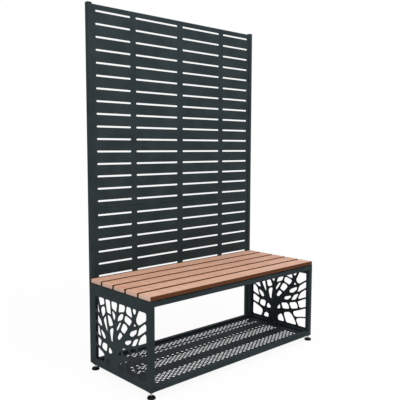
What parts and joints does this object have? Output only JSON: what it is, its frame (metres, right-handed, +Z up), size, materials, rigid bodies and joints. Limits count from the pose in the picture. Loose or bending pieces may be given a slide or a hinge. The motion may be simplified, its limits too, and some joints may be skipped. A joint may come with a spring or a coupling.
{
  "type": "privacy screen with bench",
  "caption": "Slatted outdoor bench on a steel tube frame with cut-out side sheets and a perforated shelf, backed by a tall slotted metal privacy screen on two posts.",
  "frame": {"origin": "on the floor under the middle of the whole object, feet screwed in", "axes": "+X to the right along the bench, +Y from the front of the seat to the screen, +Z up"},
  "size_m": [1.215, 0.5268, 1.8464],
  "materials": {
    "frame_coat": "anthracite powder coat, fine matt",
    "shelf_coat": "the same anthracite powder coat, a little darker in its shade",
    "seat_wood": "oiled softwood boards, fine straight grain",
    "zinc": "zinc-plated fasteners and studs",
    "black_plastic": "black moulded tube plugs",
    "foot_plastic": "black moulded foot pads"
  },
  "bodies": {
    "root": {"leg_front_left": "frame_coat", "leg_rear_left": "frame_coat", "leg_front_right": "frame_coat", "leg_rear_right": "frame_coat", "rail_bottom_front": "frame_coat", "rail_bottom_rear": "frame_coat", "rail_bottom_left": "frame_coat", "rail_bottom_right": "frame_coat", "rail_top_front": "frame_coat", "rail_top_rear": "frame_coat", "rail_top_left": "frame_coat", "rail_top_right": "frame_coat", "seat_bearer_1": "frame_coat", "seat_bearer_2": "frame_coat", "seat_bearer_3": "frame_coat", "seat_bearer_4": "frame_coat", "seat_slat_1": "seat_wood", "seat_slat_2": "seat_wood", "seat_slat_3": "seat_wood", "seat_slat_4": "seat_wood", "seat_slat_5": "seat_wood", "seat_screws": "zinc", "side_panel_left": "frame_coat", "side_panel_right": "frame_coat", "shelf_panel": "shelf_coat", "shelf_rib_1": "shelf_coat", "shelf_rib_2": "shelf_coat", "shelf_rib_3": "shelf_coat", "shelf_screws": "zinc", "screen_panel_lower": "frame_coat", "screen_panel_upper": "frame_coat", "post_left": "frame_coat", "post_right": "frame_coat", "post_cap_left": "black_plastic", "post_cap_right": "black_plastic", "post_plug_left": "black_plastic", "post_plug_right": "black_plastic", "panel_screws_left": "zinc", "panel_screws_right": "zinc", "panel_joint_bolts": "zinc", "panel_joint_nuts": "zinc", "post_bolts": "zinc", "post_nuts": "zinc", "leg_insert_front_left": "black_plastic", "leg_insert_rear_left": "black_plastic", "leg_insert_front_right": "black_plastic", "leg_insert_rear_right": "black_plastic"},
    "pad_front_left": {"foot_pad_front_left": "foot_plastic"},
    "stud_front_left": {"foot_stud_front_left": "zinc"},
    "pad_rear_left": {"foot_pad_rear_left": "foot_plastic"},
    "stud_rear_left": {"foot_stud_rear_left": "zinc"},
    "pad_front_right": {"foot_pad_front_right": "foot_plastic"},
    "stud_front_right": {"foot_stud_front_right": "zinc"},
    "pad_rear_right": {"foot_pad_rear_right": "foot_plastic"},
    "stud_rear_right": {"foot_stud_rear_right": "zinc"}
  },
  "joints": [
    {"name": "foot_travel_front_left", "type": "slide", "parent": "root", "child": "pad_front_left", "axis": [0, 0, -1], "range_m": [0, 0.015]},
    {"name": "stud_turn_front_left", "type": "hinge", "parent": "pad_front_left", "child": "stud_front_left", "pos_m": [-0.5875, -0.24345, 0.02], "axis": [0, 0, -1], "range_deg": [0, 4323]},
    {"name": "foot_travel_rear_left", "type": "slide", "parent": "root", "child": "pad_rear_left", "axis": [0, 0, -1], "range_m": [0, 0.015]},
    {"name": "stud_turn_rear_left", "type": "hinge", "parent": "pad_rear_left", "child": "stud_rear_left", "pos_m": [-0.5875, 0.22155, 0.02], "axis": [0, 0, -1], "range_deg": [0, 4323]},
    {"name": "foot_travel_front_right", "type": "slide", "parent": "root", "child": "pad_front_right", "axis": [0, 0, -1], "range_m": [0, 0.015]},
    {"name": "stud_turn_front_right", "type": "hinge", "parent": "pad_front_right", "child": "stud_front_right", "pos_m": [0.5875, -0.24345, 0.02], "axis": [0, 0, -1], "range_deg": [0, 4323]},
    {"name": "foot_travel_rear_right", "type": "slide", "parent": "root", "child": "pad_rear_right", "axis": [0, 0, -1], "range_m": [0, 0.015]},
    {"name": "stud_turn_rear_right", "type": "hinge", "parent": "pad_rear_right", "child": "stud_rear_right", "pos_m": [0.5875, 0.22155, 0.02], "axis": [0, 0, -1], "range_deg": [0, 4323]}
  ],
  "couplings": [
    {"joint": "stud_turn_front_left", "follows": "foot_travel_front_left", "rad_per_m": 5026.5},
    {"joint": "stud_turn_rear_left", "follows": "foot_travel_rear_left", "rad_per_m": 5026.5},
    {"joint": "stud_turn_front_right", "follows": "foot_travel_front_right", "rad_per_m": 5026.5},
    {"joint": "stud_turn_rear_right", "follows": "foot_travel_rear_right", "rad_per_m": 5026.5}
  ]
}
